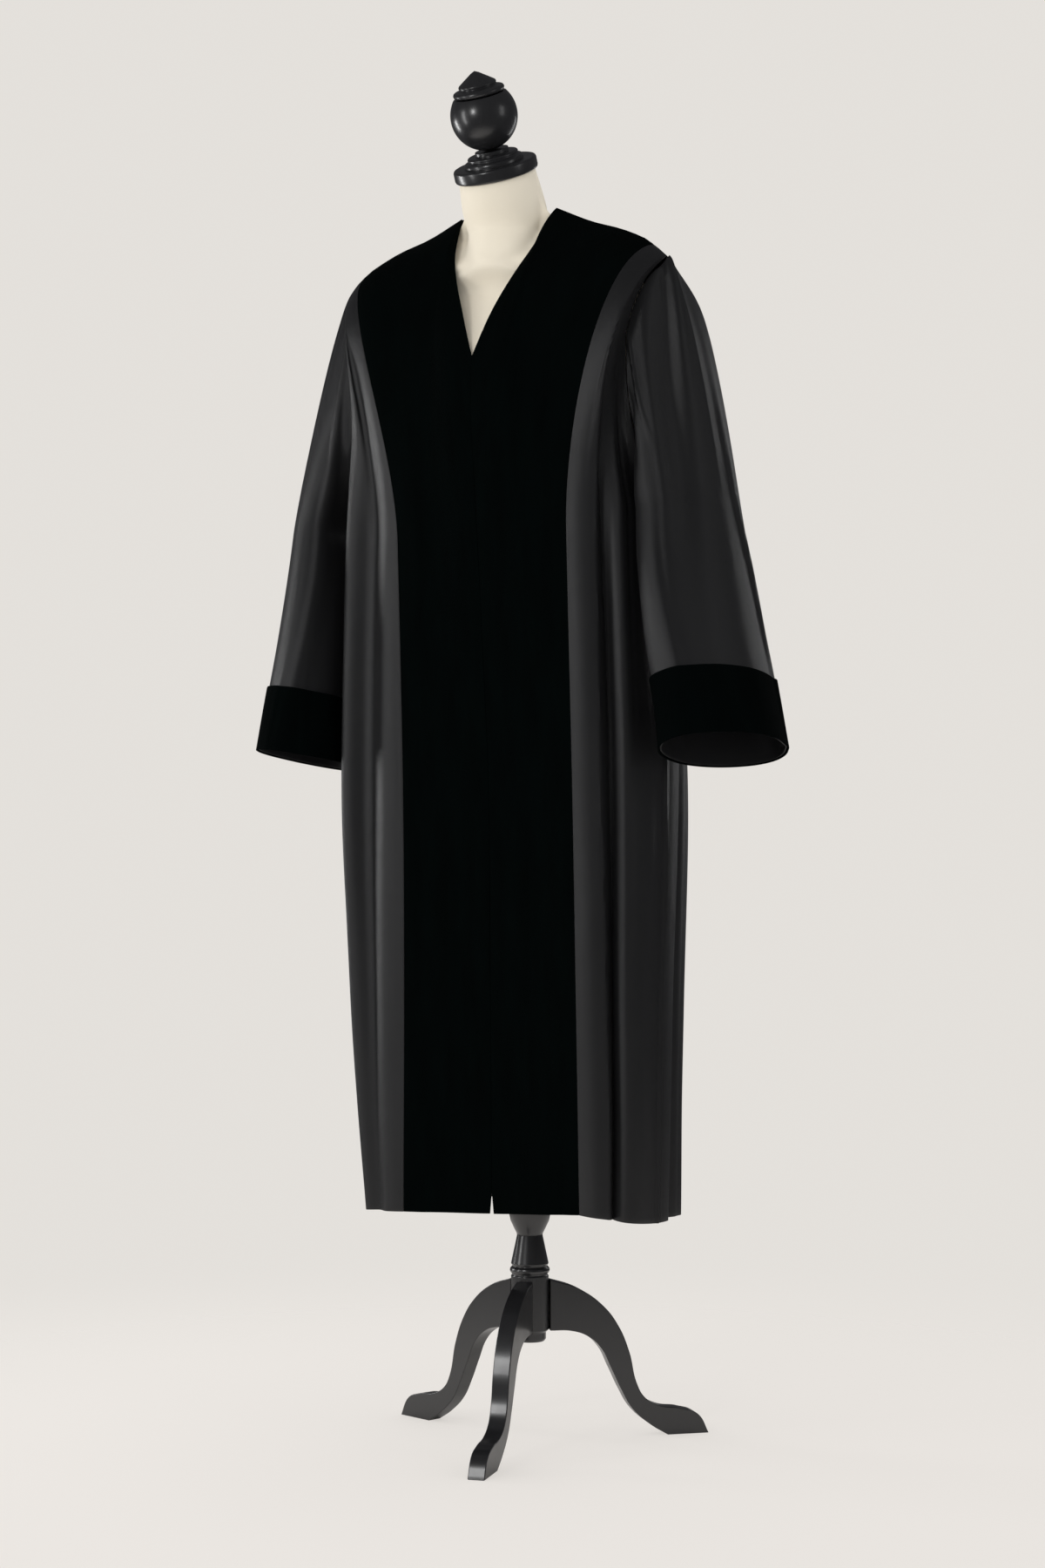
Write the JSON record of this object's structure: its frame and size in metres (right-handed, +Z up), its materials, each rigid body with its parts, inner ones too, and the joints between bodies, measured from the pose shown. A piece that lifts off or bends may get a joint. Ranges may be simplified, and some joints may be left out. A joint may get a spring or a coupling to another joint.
{
  "type": "judge's robe on a dress form with a tripod stand",
  "caption": "Black wool robe with wide velvet front bands and velvet cuffs, worn open-necked on a limbless dress form with a turned neck cap, column and tripod legs.",
  "frame": {"origin": "on the floor, under the middle of the whole object's box", "axes": "+Z up along the stand's pole; the robe faces -Y; the wearer's left is +X"},
  "size_m": [0.6943, 0.3837, 1.6509],
  "materials": {
    "wool": "fine black wool cloth, matt with a faint sheen",
    "velvet": "black cotton velvet, short pile",
    "form_cover": "cream jersey drawn over a padded form",
    "lacquer": "black satin lacquer on turned and sawn wood"
  },
  "bodies": {
    "root": {"velvet_front_left": "velvet", "velvet_front_right": "velvet", "wool_front_left": "wool", "wool_front_right": "wool", "wool_back": "wool", "sleeve_left": "wool", "sleeve_right": "wool", "cuff_left": "velvet", "cuff_right": "velvet", "form_torso": "form_cover", "neck_plate": "lacquer", "neck_ball": "lacquer", "neck_finial": "lacquer", "stand_column": "lacquer", "leg_front": "lacquer", "leg_left": "lacquer", "leg_right": "lacquer"}
  },
  "joints": []
}
